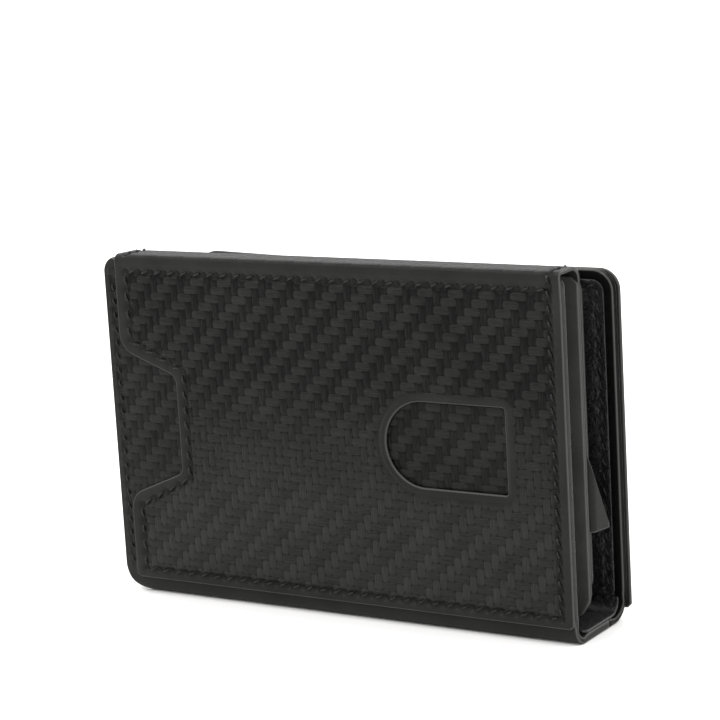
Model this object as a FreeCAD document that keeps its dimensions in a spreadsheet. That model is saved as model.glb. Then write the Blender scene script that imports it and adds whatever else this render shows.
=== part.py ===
"""Minimalist leather wallet, closed and standing on its spine.

Frame: origin at the middle of the spine's underside, +X along the length, +Y from the front
cover to the back cover, +Z up. Millimetres. The front cover carries a card pouch, both covers
fold outward about the long lower edges, and a strap slides out of the right-hand end.
"""

import FreeCAD, Part
import math
import os

import Sketcher

SIZES = {
    # overall
    "overall_length": 106.4,
    "wallet_height": 70.8,
    "panel_plane": 10.05,
    # sheet goods
    "panel_thick": 0.8,
    "wall_thick": 0.9,
    "lining_thick": 0.5,
    "board_thick": 0.4,
    "foil_thick": 0.2,
    "thread_thick": 0.2,
    "thread_wide": 0.55,
    "stitch_long": 2.3,
    "stitch_pitch": 3.2,
    # covers
    "flat_start": 3.3,
    "cover_rim": 2.6,
    "corner_round": 4.0,
    "foot_round": 4.2,
    "front_length": 104.2,
    "front_top": 69.2,
    "back_length": 104.2,
    "back_top": 68.3,
    "binding_wide": 1.8,
    # outer front panel
    "panel_left": 3.4,
    "panel_overhang": 0.4,
    "notch_deep": 13.4,
    "notch_low": 17.4,
    "notch_low_inner": 23.0,
    "notch_high_inner": 43.0,
    "notch_high": 48.0,
    "notch_round": 2.0,
    "notch_mouth_round": 4.5,
    "window_radius": 8.4,
    "window_long": 26.2,
    "window_left": 62.3,
    "window_middle": 33.1,
    # pouch
    "leaf_plane": 0.9,
    "leaf_top": 67.5,
    "leaf_bottom": 3.4,
    "leaf_length": 102.3,
    "leaf_inset": 0.1,
    "leaf_corner_wide": 2.2,
    "leaf_corner_tall": 3.2,
    "fold_round_front": 1.5,
    "fold_round_rear": 3.2,
    "gusset_thick": 0.8,
    # card panel behind the pouch
    "card_panel_face": 0.1,
    "card_panel_low": 9.0,
    "card_panel_top": 70.3,
    "card_panel_length": 99.7,
    "card_panel_inset": 0.6,
    "welt_wide": 4.0,
    # pull strap
    "strap_gap": 0.1,
    "strap_thick": 0.6,
    "strap_low": 19.5,
    "strap_wide": 15.5,
    "strap_long": 64.0,
    "strap_end": 50.1,
    "tab_thick": 0.8,
    "tab_reach": 4.3,
    "tab_out": 1.9,
    "tab_root": 1.0,
    "tab_root_inner": 0.55,
    "tab_foot": 1.0,
    # spine
    "spine_length": 100.6,
    "spine_inset": 1.1,
    "spine_half": 6.95,
    "spine_board_thick": 0.8,
    "spine_rim": 1.6,
    "fold_top": 3.0,
    "fold_radius": 2.2,
    "stitch_inset": 1.9,
    "left_stitch_inset": 2.6,
    "side_stitch_inset": 2.6,
    "border_stitch_inset": 2.1,
    "border_stitch_start": 1.5,
    "over_top_start": 0.6,
    "back_panel_bottom": 2.4,
}

doc = FreeCAD.newDocument("Wallet")
sheet = doc.addObject("Spreadsheet::Sheet", "Sizes")
for row, (word, number) in enumerate(SIZES.items(), start=1):
    sheet.set("A%d" % row, word)
    sheet.set("B%d" % row, str(number))
    sheet.setAlias("B%d" % row, word)
doc.recompute()

NODES = []


def size(text):
    """The value of signed terms over the sheet's sizes, such as '-overall_length/2+panel_left'."""
    total = 0.0
    for term in text.replace("-", "+-").replace(" ", "").split("+"):
        if not term:
            continue
        sign = -1.0 if term.startswith("-") else 1.0
        word, _, divisor = term.lstrip("-").partition("/")
        value = getattr(sheet, word) if hasattr(sheet, word) else float(word)
        total += sign * value / (float(divisor) if divisor else 1.0)
    return total


def bound(text):
    """The same expression with each size named through the sheet."""
    words = text.replace("+", " + ").replace("-", " - ").replace("/", " / ").split()
    return " ".join("Sizes." + word if word in SIZES else word for word in words)


def bind(thing, prop, text):
    thing.setExpression(prop, bound(text))


def origin_plane(body, role):
    return next(feature for feature in body.Origin.OriginFeatures if feature.Role == role)


def new_body(label, place):
    """An empty body whose own corner sits at the three expressions in place."""
    body = doc.addObject("PartDesign::Body", label)
    body.Label = label
    for axis, text in zip("xyz", place):
        bind(body, "Placement.Base." + axis, text)
    NODES.append(body)
    return body


def pin_corner(sketch, edge, end, number, across, up):
    """Holds one corner of an outline at its two distances from the sketch origin."""
    for kind, axis, text in (("DistanceX", -2, across), ("DistanceY", -1, up)):
        if text == "0":
            sketch.addConstraint(Sketcher.Constraint("PointOnObject", edge, end, axis))
            continue
        value = size(text)
        rule = sketch.addConstraint(Sketcher.Constraint(kind, -1, 1, edge, end, value))
        name = "%s_%d" % ("across" if kind == "DistanceX" else "up", number)
        sketch.renameConstraint(rule, name)
        bind(sketch, "Constraints." + name, text)


def outline(body, name, role, corners):
    """A closed straight-sided outline whose corners are pairs of expressions."""
    sketch = body.newObject("Sketcher::SketchObject", name)
    sketch.AttachmentSupport = [(origin_plane(body, role), "")]
    sketch.MapMode = "FlatFace"
    points = [FreeCAD.Vector(size(across), size(up), 0) for across, up in corners]
    count = len(points)
    for index in range(count):
        sketch.addGeometry(Part.LineSegment(points[index], points[(index + 1) % count]), False)
    for index in range(count):
        following = (index + 1) % count
        sketch.addConstraint(Sketcher.Constraint("Coincident", index, 2, following, 1))
    for index, (across, up) in enumerate(corners):
        pin_corner(sketch, index, 1, index, across, up)
    return sketch


def rectangle(wide, tall, margin="0"):
    """The corners of a rectangle, drawn in from the body's corner by a margin."""
    if margin == "0":
        return [("0", "0"), (wide, "0"), (wide, tall), ("0", tall)]
    right, top = wide + "-" + margin, tall + "-" + margin
    return [(margin, margin), (right, margin), (right, top), (margin, top)]


def pad(body, sketch, length, reverse=False):
    feature = body.newObject("PartDesign::Pad", sketch.Name + "Pad")
    feature.Profile = sketch
    feature.Reversed = reverse
    bind(feature, "Length", length)
    sketch.Visibility = False
    doc.recompute()
    return feature


def pocket(body, sketch, length=None, reverse=False):
    """Cuts a sketch out of the body, right through where no length is given."""
    before = body.Shape.Volume
    feature = body.newObject("PartDesign::Pocket", sketch.Name + "Pocket")
    feature.Profile = sketch
    feature.Reversed = reverse
    if length is None:
        feature.Type = "ThroughAll"
        feature.Midplane = True
    else:
        bind(feature, "Length", length)
    doc.recompute()
    if body.Shape.Volume > before - 1e-6:
        raise RuntimeError(body.Label + ": the pocket cut nothing")
    return feature


def straight_edges(shape, along, spots):
    """Names of the straight edges that run along one axis through the given spots."""
    found = []
    others = [axis for axis in (0, 1, 2) if axis != along]
    for number, edge in enumerate(shape.Edges, start=1):
        if len(edge.Vertexes) != 2:
            continue
        start, end = (vertex.Point for vertex in edge.Vertexes)
        if any(abs(start[axis] - end[axis]) > 1e-4 for axis in others):
            continue
        for spot in spots:
            if all(abs(start[axis] - spot[n]) < 1e-3 for n, axis in enumerate(others)):
                found.append("Edge%d" % number)
    return found


def round_edges(body, along, spots, radius):
    """Rounds the edges that run along an axis (0 is X) at expression pairs."""
    base = body.Tip
    values = [(size(first), size(second)) for first, second in spots]
    names = straight_edges(base.Shape, along, values)
    if len(names) != len(spots):
        raise RuntimeError("%s: %d of %d edges found" % (body.Label, len(names), len(spots)))
    fillet = body.newObject("PartDesign::Fillet", body.Name + "Round")
    fillet.Base = (base, names)
    bind(fillet, "Radius", radius)
    doc.recompute()
    return fillet


def sheet_piece(label, place, wide, tall, thick, corner=None, inward=False):
    """A flat rectangular piece standing in the XZ plane, padded toward -Y or +Y."""
    body = new_body(label, place)
    face = outline(body, label + "_face", "XZ_Plane", rectangle(wide, tall))
    pad(body, face, thick, reverse=inward)
    if corner:
        round_edges(body, 1, [("0", tall), (wide, tall)], corner)
    return body


def cover_set(side, left, length, top, foot_corner=False):
    """Leather tray, board, foil, lining and edge binding of one cover, 'front' or 'back'.

    With foot_corner, the lower corner clear of the fold is rounded as well."""
    sign = "-" if side == "front" else ""
    far = side == "back"
    wall_inner = sign + "panel_plane" + ("+panel_thick+wall_thick" if not far else
                                         "-panel_thick-wall_thick")
    board_inner = wall_inner + ("+board_thick" if not far else "-board_thick")
    foil_inner = board_inner + ("+foil_thick" if not far else "-foil_thick")
    lining_inner = foil_inner + ("+lining_thick" if not far else "-lining_thick")
    tall = top + "-flat_start"
    tray = new_body(side + "_cover_leather", (left, foil_inner, "flat_start"))
    face = outline(tray, side + "_face", "XZ_Plane", rectangle(length, tall))
    pad(tray, face, "wall_thick+board_thick+foil_thick", reverse=far)
    recess = outline(tray, side + "_recess", "XZ_Plane", rectangle(length, tall, "cover_rim"))
    pocket(tray, recess, "board_thick+foil_thick", reverse=not far)
    round_edges(tray, 1, [("0", tall), (length, tall)], "corner_round")
    inset_left, inset_low = left + "+cover_rim", "flat_start+cover_rim"
    inner_long = length + "-cover_rim-cover_rim"
    inner_tall = tall + "-cover_rim-cover_rim"
    sheet_piece(side + "_board", (inset_left, board_inner, inset_low), inner_long, inner_tall,
                "board_thick", inward=far)
    sheet_piece(side + "_shield_foil", (inset_left, foil_inner, inset_low), inner_long,
                inner_tall, "foil_thick", inward=far)
    bind_left, bind_low = left + "+binding_wide", "flat_start+binding_wide"
    lining_long = length + "-binding_wide-binding_wide"
    lining_tall = tall + "-binding_wide-binding_wide"
    lining = sheet_piece(side + "_lining", (bind_left, lining_inner, bind_low), lining_long,
                         lining_tall, "lining_thick", corner="corner_round-binding_wide",
                         inward=far)
    frame = new_body(side + "_edge_binding", (left, lining_inner, "flat_start"))
    ring = outline(frame, side + "_ring", "XZ_Plane", rectangle(length, tall))
    pad(frame, ring, "lining_thick", reverse=far)
    hole = outline(frame, side + "_ring_hole", "XZ_Plane",
                   rectangle(length, tall, "binding_wide"))
    round_edges(frame, 1, [("0", tall), (length, tall)], "corner_round")
    pocket(frame, hole)
    inner = [("binding_wide", tall + "-binding_wide"),
             (length + "-binding_wide", tall + "-binding_wide")]
    round_edges(frame, 1, inner, "corner_round-binding_wide")
    if foot_corner:
        round_edges(tray, 1, [("0", "0")], "foot_round")
        round_edges(lining, 1, [("0", "0")], "foot_round-binding_wide")
        round_edges(frame, 1, [("0", "0")], "foot_round")
        round_edges(frame, 1, [("binding_wide", "binding_wide")], "foot_round-binding_wide")


def window_sketch(body):
    """The thumb window: a half circle on the left, straight sides and a flat right end."""
    sketch = body.newObject("Sketcher::SketchObject", "thumb_window")
    sketch.AttachmentSupport = [(origin_plane(body, "XZ_Plane"), "")]
    sketch.MapMode = "FlatFace"
    radius = size("window_radius")
    middle = FreeCAD.Vector(size("window_left+window_radius"), size("window_middle"), 0)
    right = size("window_left+window_long")
    up = FreeCAD.Vector(0, radius, 0)
    circle = Part.Circle(middle, FreeCAD.Vector(0, 0, 1), radius)
    top_right = FreeCAD.Vector(right, middle.y + radius, 0)
    low_right = FreeCAD.Vector(right, middle.y - radius, 0)
    sketch.addGeometry(Part.ArcOfCircle(circle, math.pi / 2, 3 * math.pi / 2), False)
    sketch.addGeometry(Part.LineSegment(middle - up, low_right), False)
    sketch.addGeometry(Part.LineSegment(low_right, top_right), False)
    sketch.addGeometry(Part.LineSegment(top_right, middle + up), False)
    sketch.addConstraint(Sketcher.Constraint("Tangent", 0, 2, 1, 1))
    sketch.addConstraint(Sketcher.Constraint("Coincident", 1, 2, 2, 1))
    sketch.addConstraint(Sketcher.Constraint("Coincident", 2, 2, 3, 1))
    sketch.addConstraint(Sketcher.Constraint("Tangent", 3, 2, 0, 1))
    sketch.addConstraint(Sketcher.Constraint("Horizontal", 1))
    sketch.addConstraint(Sketcher.Constraint("Vertical", 2))
    rules = (
        ("Radius", Sketcher.Constraint("Radius", 0, radius), "window_radius"),
        ("centre_across", Sketcher.Constraint("DistanceX", -1, 1, 0, 3, middle.x),
         "window_left+window_radius"),
        ("centre_up", Sketcher.Constraint("DistanceY", -1, 1, 0, 3, middle.y),
         "window_middle"),
        ("right_side", Sketcher.Constraint("DistanceX", -1, 1, 1, 2, right),
         "window_left+window_long"),
    )
    for name, rule, text in rules:
        sketch.renameConstraint(sketch.addConstraint(rule), name)
        bind(sketch, "Constraints." + name, text)
    return sketch


def front_panel():
    """Outer front panel with the side pocket's mouth and the thumb window."""
    long = "front_length-panel_left+panel_overhang"
    tall = "front_top-flat_start"
    place = ("-overall_length/2+panel_left", "-panel_plane+panel_thick", "flat_start")
    body = sheet_piece("front_pocket_panel", place, long, tall, "panel_thick")
    mouth = [("0", "notch_low"), ("notch_deep", "notch_low_inner"),
             ("notch_deep", "notch_high_inner"), ("0", "notch_high")]
    pocket(body, outline(body, "pocket_mouth", "XZ_Plane", mouth))
    pocket(body, window_sketch(body))
    round_edges(body, 1, [mouth[0], mouth[3]], "notch_mouth_round")
    round_edges(body, 1, [mouth[1], mouth[2]], "notch_round")


def bent_strip(label, place, length, section, rounds):
    """A strip of constant section in the YZ plane, run along X."""
    body = new_body(label, place)
    pad(body, outline(body, label + "_section", "YZ_Plane", section), length)
    for spots, radius in rounds:
        round_edges(body, 0, spots, radius)
    return body


def pouch():
    """Top fold, inner leaf, bottom and end gussets: a flat tube open at the right end."""
    fold_left = "-overall_length/2+panel_left"
    fold_long = "front_length-panel_left+panel_overhang"
    wide, rise = "panel_plane-leaf_plane", "wallet_height-leaf_top"
    front_foot = "front_top-leaf_top"
    section = [("0", front_foot), ("0", rise), (wide, rise), (wide, "0"),
               (wide + "-panel_thick", "0"), (wide + "-panel_thick", rise + "-panel_thick"),
               ("panel_thick", rise + "-panel_thick"), ("panel_thick", front_foot)]
    bent_strip(
        "pouch_top_fold", (fold_left, "-panel_plane", "leaf_top"), fold_long, section,
        [([("0", rise)], "fold_round_front"), ([(wide, rise)], "fold_round_rear"),
         ([(wide + "-panel_thick", rise + "-panel_thick")], "fold_round_rear-panel_thick"),
         ([("panel_thick", rise + "-panel_thick")], "fold_round_front-panel_thick")])
    leaf_left = "-overall_length/2+front_length-leaf_length-leaf_inset"
    tall = "leaf_top-leaf_bottom"
    cut = [("0", "leaf_corner_tall"), ("leaf_corner_wide", "0"),
           ("leaf_length-leaf_corner_wide", "0"), ("leaf_length", "leaf_corner_tall"),
           ("leaf_length", tall), ("0", tall)]
    for label, plane, thick in (
        ("inner_leaf_leather", "-leaf_plane", "panel_thick"),
        ("inner_leaf_lining", "-leaf_plane-panel_thick", "lining_thick"),
    ):
        body = new_body(label, (leaf_left, plane, "leaf_bottom"))
        pad(body, outline(body, label + "_face", "XZ_Plane", cut), thick)
    inner_front = "-panel_plane+panel_thick+wall_thick+board_thick+foil_thick+lining_thick"
    inner_rear = "-leaf_plane-panel_thick-lining_thick"
    depth = ("panel_plane-panel_thick-wall_thick-board_thick-foil_thick-lining_thick"
             "-leaf_plane-panel_thick-lining_thick")
    bottom = new_body("pouch_bottom_gusset", (leaf_left + "+leaf_corner_wide", inner_front,
                                              "leaf_bottom"))
    floor = rectangle("leaf_length-leaf_corner_wide-leaf_corner_wide", "gusset_thick")
    pad(bottom, outline(bottom, "gusset_floor", "XZ_Plane", floor), depth, reverse=True)
    end = new_body("pouch_end_gusset", (leaf_left + "+leaf_corner_wide", inner_rear,
                                        "leaf_bottom+gusset_thick"))
    wall = rectangle("gusset_thick", tall + "-gusset_thick")
    pad(end, outline(end, "gusset_wall", "XZ_Plane", wall), depth)


def card_panel():
    """The card panel behind the pouch and the welt that joins it to the inner leaf."""
    left = "-overall_length/2+front_length-card_panel_length-card_panel_inset"
    tall = "card_panel_top-card_panel_low"
    sheet_piece("card_panel", (left, "-card_panel_face+panel_thick", "card_panel_low"),
                "card_panel_length", tall, "panel_thick", corner="corner_round")
    welt = new_body("card_panel_welt", (left, "-card_panel_face", "card_panel_low"))
    ell = [("0", "0"), ("card_panel_length", "0"), ("card_panel_length", "welt_wide"),
           ("welt_wide", "welt_wide"), ("welt_wide", "leaf_top-card_panel_low"),
           ("0", "leaf_top-card_panel_low")]
    pad(welt, outline(welt, "welt_face", "XZ_Plane", ell), "leaf_plane-card_panel_face")


def pull_strap():
    """The flat strap and its bent end tab, cut on the slant."""
    face = "-leaf_plane+strap_gap"
    sheet_piece("pull_strap", ("strap_end-strap_long", face + "+strap_thick", "strap_low"),
                "strap_long", "strap_wide", "strap_thick")
    tab = new_body("pull_tab", ("strap_end", face, "strap_low"))
    reach = "strap_thick+tab_reach"
    section = [("0", "0"), ("tab_root", "0"), ("tab_out", reach),
               ("tab_out-tab_thick", reach), ("tab_root_inner", "strap_thick"),
               ("0", "strap_thick")]
    pad(tab, outline(tab, "tab_section", "XY_Plane", section), "strap_wide")
    slant = [("strap_thick", "strap_wide"), (reach, "tab_foot"), (reach, "strap_wide")]
    pocket(tab, outline(tab, "tab_slant", "YZ_Plane", slant))


def spine():
    """The strip that the wallet stands on and the two leather folds beside it."""
    left = "overall_length/2-spine_inset-spine_length"
    wide = "spine_half+spine_half"
    deep = "wall_thick+spine_board_thick"
    leather = new_body("spine_leather", (left, "-spine_half", "0"))
    face = outline(leather, "spine_face", "XY_Plane", rectangle("spine_length", wide))
    pad(leather, face, deep)
    board = new_body("spine_board", (left + "+spine_rim", "-spine_half+spine_rim",
                                     "wall_thick"))
    board_face = rectangle("spine_length-spine_rim-spine_rim", wide + "-spine_rim-spine_rim")
    pad(board, outline(board, "board_face", "XY_Plane", board_face), "spine_board_thick")
    lining = new_body("spine_lining", (left, "-spine_half", deep))
    lining_face = rectangle("spine_length", wide)
    pad(lining, outline(lining, "lining_face", "XY_Plane", lining_face), "lining_thick")
    bed = outline(leather, "spine_bed", "XY_Plane",
                  rectangle("spine_length", wide, "spine_rim"))
    bed.AttachmentOffset = FreeCAD.Placement(FreeCAD.Vector(0, 0, size(deep)),
                                             FreeCAD.Rotation())
    bind(bed, "AttachmentOffset.Base.z", deep)
    doc.recompute()
    pocket(leather, bed, "spine_board_thick")
    reach = "panel_plane-panel_thick-spine_half"
    ell = [("0", "0"), (reach, "0"), (reach, "wall_thick"), ("wall_thick", "wall_thick"),
           ("wall_thick", "fold_top"), ("0", "fold_top")]
    bent_strip("front_fold", (left, "-panel_plane+panel_thick", "0"), "spine_length", ell,
               [([("0", "0")], "fold_radius"),
                ([("wall_thick", "wall_thick")], "fold_radius-wall_thick")])
    mirrored = [("0", "0"), (reach, "0"), (reach, "fold_top"),
                (reach + "-wall_thick", "fold_top"), (reach + "-wall_thick", "wall_thick"),
                ("0", "wall_thick")]
    bent_strip("back_fold", (left, "spine_half", "0"), "spine_length", mirrored,
               [([(reach, "0")], "fold_radius"),
                ([(reach + "-wall_thick", "wall_thick")], "fold_radius-wall_thick")])


def back_panel():
    """Outer back panel, sewn all round."""
    long = "back_length-panel_left+panel_overhang"
    place = ("overall_length/2-back_length+panel_left-panel_overhang",
             "panel_plane-panel_thick", "back_panel_bottom")
    sheet_piece("back_pocket_panel", place, long, "back_top-back_panel_bottom", "panel_thick",
                corner="corner_round", inward=True)


def stitch(start, direction, normal):
    """One thread float: a flat bar with round ends lying on the face with this normal."""
    half, wide = size("stitch_long") / 2, size("thread_wide") / 2
    side = normal.cross(direction)
    along = direction * (half - wide)
    round_end = direction * half
    centre = start
    first = centre + along + side * wide
    second = centre - along + side * wide
    third = centre - along - side * wide
    fourth = centre + along - side * wide
    wire = Part.Wire([
        Part.LineSegment(first, second).toShape(),
        Part.Arc(second, centre - round_end, third).toShape(),
        Part.LineSegment(third, fourth).toShape(),
        Part.Arc(fourth, centre + round_end, first).toShape(),
    ])
    return Part.Face(wire).extrude(normal * size("thread_thick"))


def stitch_run(start, end, normal):
    """Evenly spaced stitches between two points."""
    way = end - start
    count = max(1, round(way.Length / size("stitch_pitch")))
    direction = FreeCAD.Vector(way).normalize()
    step = way.Length / count
    return [stitch(start + direction * step * (n + 0.5), direction, normal)
            for n in range(count)]


def stitching(label, corners, normal, closed=True, extra=()):
    """One node holding every stitch of a seam through the given corners."""
    ends = corners[1:] + (corners[:1] if closed else [])
    stitches = [piece for first, second in zip(corners, ends)
                for piece in stitch_run(first, second, normal)]
    node = doc.addObject("Part::Feature", label)
    node.Label = label
    node.Shape = Part.makeCompound(stitches + list(extra))
    NODES.append(node)


def loop(left, right, low, high, plane):
    """The corners of a rectangular seam on a plane of constant y."""
    return [FreeCAD.Vector(left, plane, low), FreeCAD.Vector(right, plane, low),
            FreeCAD.Vector(right, plane, high), FreeCAD.Vector(left, plane, high)]


def all_stitching():
    inset, side_inset = size("stitch_inset"), size("side_stitch_inset")
    plane = size("panel_plane")
    toward_front, toward_back = FreeCAD.Vector(0, -1, 0), FreeCAD.Vector(0, 1, 0)
    left = size("-overall_length/2+panel_left")
    right = size("-overall_length/2+front_length+panel_overhang") - side_inset
    low, high = size("flat_start") + inset, size("front_top") - inset
    mouth_in = left + size("notch_deep") + inset
    foot = size("flat_start")
    edge = left + size("left_stitch_inset")
    seam = [(right, low), (right, high), (edge, high),
            (edge, foot + size("notch_high") + inset),
            (mouth_in, foot + size("notch_high_inner") + inset / 2),
            (mouth_in, foot + size("notch_low_inner") - inset / 2),
            (edge, foot + size("notch_low") - inset), (edge, low)]
    over_top = FreeCAD.Vector(0, 0, 1)
    top = size("wallet_height")
    start = FreeCAD.Vector(right, -plane + size("fold_round_front+over_top_start"), top)
    end = FreeCAD.Vector(right, -size("leaf_plane+fold_round_rear"), top)
    stitching("front_panel_stitching", [FreeCAD.Vector(x, -plane, z) for x, z in seam],
              toward_front, extra=stitch_run(start, end, over_top))
    border = -size("panel_plane-panel_thick")
    strip = size("-overall_length/2+border_stitch_inset")
    stitching("front_border_stitching",
              [FreeCAD.Vector(strip, border, size("flat_start+border_stitch_start")),
               FreeCAD.Vector(strip, border, size("front_top-corner_round"))],
              toward_front, closed=False)
    card_left = size("-overall_length/2+front_length-card_panel_length-card_panel_inset")
    card_right = card_left + size("card_panel_length")
    stitching("card_panel_stitching",
              loop(card_left + inset, card_right - inset, size("card_panel_low") + inset,
                   size("card_panel_top") - inset,
                   size("-card_panel_face+panel_thick")), toward_back)
    back_left = size("overall_length/2-back_length")
    back_right = size("overall_length/2")
    stitching("back_lining_stitching",
              loop(back_left + side_inset, back_right - side_inset, foot + side_inset,
                   size("back_top") - side_inset,
                   size("panel_plane-panel_thick-wall_thick-board_thick-foil_thick"
                        "-lining_thick")), toward_front)
    stitching("back_panel_stitching",
              loop(back_left + size("panel_left") + inset, back_right - side_inset,
                   size("back_panel_bottom") + inset, size("back_top") - inset, plane),
              toward_back)


def write_nodes():
    """Checks every object, then writes one STEP file for each node."""
    doc.recompute()
    for thing in doc.Objects:
        if "Invalid" in thing.State or "Error" in thing.State:
            raise RuntimeError("%s failed: %s" % (thing.Label, thing.State))
    os.makedirs("parts", exist_ok=True)
    for node in NODES:
        shape = node.Shape
        if shape.isNull() or not shape.isValid():
            raise RuntimeError(node.Label + " has no valid shape")
        box = shape.BoundBox
        print("%-24s %8.1f mm3  x %6.1f %6.1f  y %6.2f %6.2f  z %6.2f %6.2f" % (
            node.Label, shape.Volume, box.XMin, box.XMax, box.YMin, box.YMax, box.ZMin,
            box.ZMax))
        shape.exportStep("parts/%s.step" % node.Label)
    print(len(NODES), "nodes")


spine()
cover_set("front", "-overall_length/2", "front_length", "front_top", foot_corner=True)
front_panel()
pouch()
card_panel()
pull_strap()
cover_set("back", "overall_length/2-back_length", "back_length", "back_top")
back_panel()
all_stitching()
write_nodes()
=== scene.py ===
"""Looks of the minimalist wallet: folded, stitched and embossed leather around its CAD frame.

Everything is drawn in millimetres, in the frame's axes, and written to meshes in metres.
A leather piece is cut flat, as an outline in (across, along), and then bent along a path in
the YZ plane, so its emboss and its seams follow the folds.
"""

import math

import bpy
import numpy as np
from mathutils import Matrix, Vector


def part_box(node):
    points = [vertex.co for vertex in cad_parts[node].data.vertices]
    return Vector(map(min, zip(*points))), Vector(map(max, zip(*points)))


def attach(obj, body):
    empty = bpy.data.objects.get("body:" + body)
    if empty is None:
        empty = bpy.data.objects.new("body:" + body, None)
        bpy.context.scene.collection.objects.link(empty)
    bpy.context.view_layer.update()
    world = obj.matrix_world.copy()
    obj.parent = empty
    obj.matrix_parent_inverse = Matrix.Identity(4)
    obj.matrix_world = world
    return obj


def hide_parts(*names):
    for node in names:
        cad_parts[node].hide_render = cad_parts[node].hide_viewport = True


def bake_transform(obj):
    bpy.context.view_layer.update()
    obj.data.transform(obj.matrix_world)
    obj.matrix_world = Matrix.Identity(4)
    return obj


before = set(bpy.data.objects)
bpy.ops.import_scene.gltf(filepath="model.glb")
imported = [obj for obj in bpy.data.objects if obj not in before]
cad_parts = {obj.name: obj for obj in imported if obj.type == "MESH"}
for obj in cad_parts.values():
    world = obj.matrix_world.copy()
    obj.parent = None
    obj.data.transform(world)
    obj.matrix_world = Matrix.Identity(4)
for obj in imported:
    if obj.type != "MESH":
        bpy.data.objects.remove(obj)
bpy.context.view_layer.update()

MM = 0.001
TOW_ACROSS = 1.64          # width of one embossed tow, measured across the wallet
TOW_ALONG = 1.67           # and up it
TOW_STEPS = 4              # grid lines to a tow
EMBOSS_DEEP = 0.11
UV_PER_MM = 0.01           # the cloth coordinates are in decimetres
STITCH_PITCH = 3.2
STITCH_INSET = 1.9
SIDE_INSET = 2.6           # the same, on the upright seams of the outer panels
CORNER = 4.0
THREAD_PROUD = 0.12        # how far a stitch stands above the leather
THREAD_DIVE = 0.6          # and how far it goes down into its hole
THREAD_LEAN = 0.36         # how far a stitch slants off its seam


def box_mm(node):
    low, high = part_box(node)
    return np.array(low) / MM, np.array(high) / MM


panel_low, panel_high = box_mm("front_pocket_panel")
arch_high = box_mm("pouch_top_fold")[1]
leaf_low, leaf_high = box_mm("inner_leaf_leather")
leaf_lining_low, leaf_lining_high = box_mm("inner_leaf_lining")
front_low, front_high = box_mm("front_cover_leather")
front_lining_low, front_lining_high = box_mm("front_lining")
back_low, back_high = box_mm("back_cover_leather")
back_lining_low, back_lining_high = box_mm("back_lining")
back_panel_low, back_panel_high = box_mm("back_pocket_panel")
card_low, card_high = box_mm("card_panel")
spine_low, spine_high = box_mm("spine_leather")
spine_lining_low, spine_lining_high = box_mm("spine_lining")


# ---------------------------------------------------------------- flat outlines

def rounded(corners, step=0.25):
    """A closed outline through (across, along, radius) corners, with arcs at the corners."""
    points = []
    count = len(corners)
    for index in range(count):
        here = np.array(corners[index][:2], float)
        radius = corners[index][2]
        before = np.array(corners[index - 1][:2], float) - here
        after = np.array(corners[(index + 1) % count][:2], float) - here
        before /= np.linalg.norm(before)
        after /= np.linalg.norm(after)
        turn = math.acos(np.clip(before @ after, -1, 1))
        if radius <= 0 or turn > math.pi - 0.01:
            points.append(here)
            continue
        reach = radius / math.tan(turn / 2)
        middle = here + (before + after) / np.linalg.norm(before + after) * (
            radius / math.sin(turn / 2))
        start = here + before * reach - middle
        sweep = math.pi - turn
        sign = 1.0 if before[0] * after[1] - before[1] * after[0] < 0 else -1.0
        steps = max(3, math.ceil(radius * sweep / step))
        for n in range(steps + 1):
            angle = sign * sweep * n / steps
            cosine, sine = math.cos(angle), math.sin(angle)
            points.append(middle + np.array([start[0] * cosine - start[1] * sine,
                                             start[0] * sine + start[1] * cosine]))
    return np.array(points)


def boundary_of(points, loops):
    """Signed distance into the material and the nearest boundary point, for each point."""
    starts = np.concatenate(loops)
    ends = np.concatenate([np.roll(loop, -1, axis=0) for loop in loops])
    way = ends - starts
    length = (way ** 2).sum(1)
    distance = np.full(len(points), 1e9)
    nearest = np.zeros_like(points)
    inside = np.zeros(len(points), bool)
    for a, w, size, b in zip(starts, way, length, ends):
        if size < 1e-12:
            continue
        t = np.clip(((points - a) @ w) / size, 0, 1)
        spot = a + t[:, None] * w
        gap = np.hypot(*(points - spot).T)
        closer = gap < distance
        distance[closer] = gap[closer]
        nearest[closer] = spot[closer]
        crosses = (a[1] > points[:, 1]) != (b[1] > points[:, 1])
        if crosses.any():
            at = a[0] + (points[:, 1] - a[1]) * w[0] / (w[1] if w[1] else 1e-12)
            inside ^= crosses & (points[:, 0] < at)
    return np.where(inside, distance, -distance), nearest


def grid_lines(low, high, step):
    """The two ends, and the whole multiples of the step between them."""
    first, last = math.ceil(low / step), math.floor(high / step)
    return [low] + [n * step for n in range(first, last + 1)] + [high]


def beside(line, step):
    """Extra grid lines close to a seam's line."""
    return [line + n * step for n in range(-4, 5)]


def merged_lines(*groups, gap=0.12):
    """Grid lines from several groups, in order, with none closer than the gap."""
    kept = []
    for value in sorted(value for group in groups for value in group):
        if not kept or value - kept[-1] > gap:
            kept.append(value)
    return np.array(kept)


# ---------------------------------------------------------------- bending paths

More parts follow.
